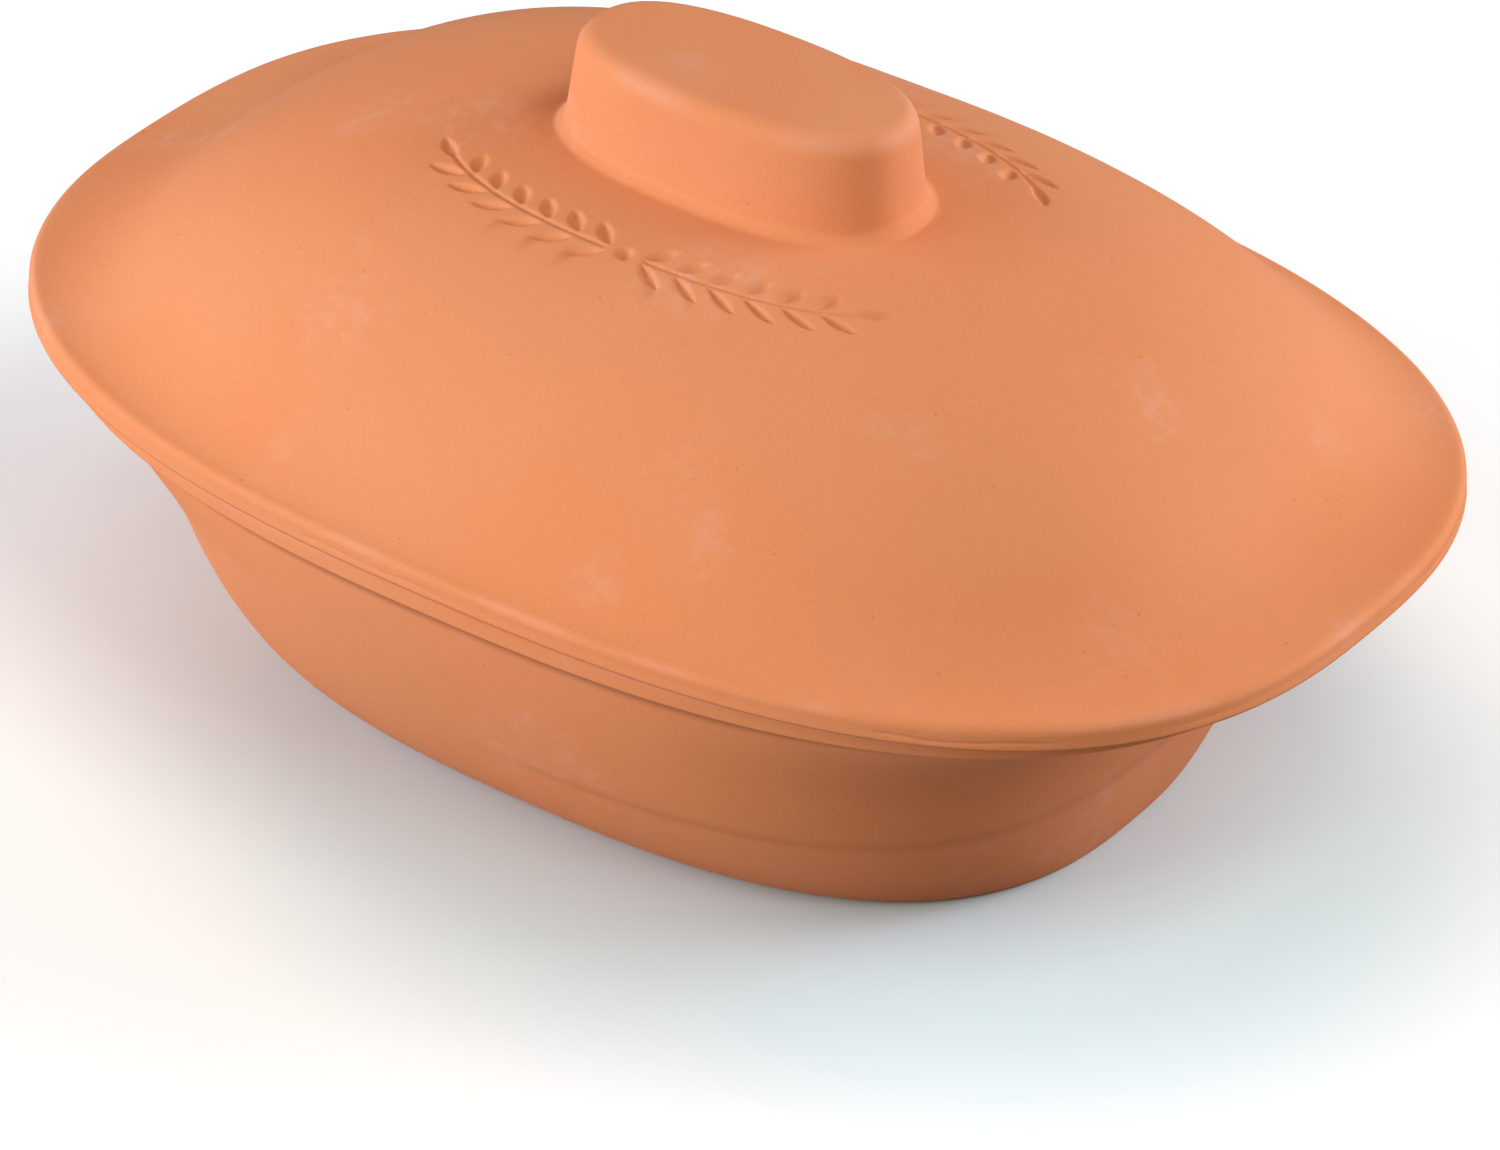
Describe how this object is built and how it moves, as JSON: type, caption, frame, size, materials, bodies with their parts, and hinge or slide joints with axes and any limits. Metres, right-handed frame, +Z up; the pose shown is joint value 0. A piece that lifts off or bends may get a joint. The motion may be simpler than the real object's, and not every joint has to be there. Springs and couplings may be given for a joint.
{
  "type": "covered clay baker",
  "caption": "Oval unglazed terracotta roaster: a dish with end grips and a flat foot, under a domed lid with an oval knob that lifts off.",
  "frame": {"origin": "middle of the flat foot, on the surface that the dish stands on", "axes": "+Z up, the way the lid lifts; +X along the baker's length; +Y across it"},
  "size_m": [0.345, 0.2362, 0.1594],
  "materials": {
    "dish_clay": "unglazed fired terracotta, matt",
    "lid_clay": "unglazed fired terracotta, matt"
  },
  "bodies": {
    "dish": {"dish": "dish_clay"},
    "lid": {"lid": "lid_clay"}
  },
  "joints": [
    {"name": "lid_lift", "type": "slide", "parent": "dish", "child": "lid", "axis": [0, 0, 1], "range_m": [0, 0.15]}
  ]
}
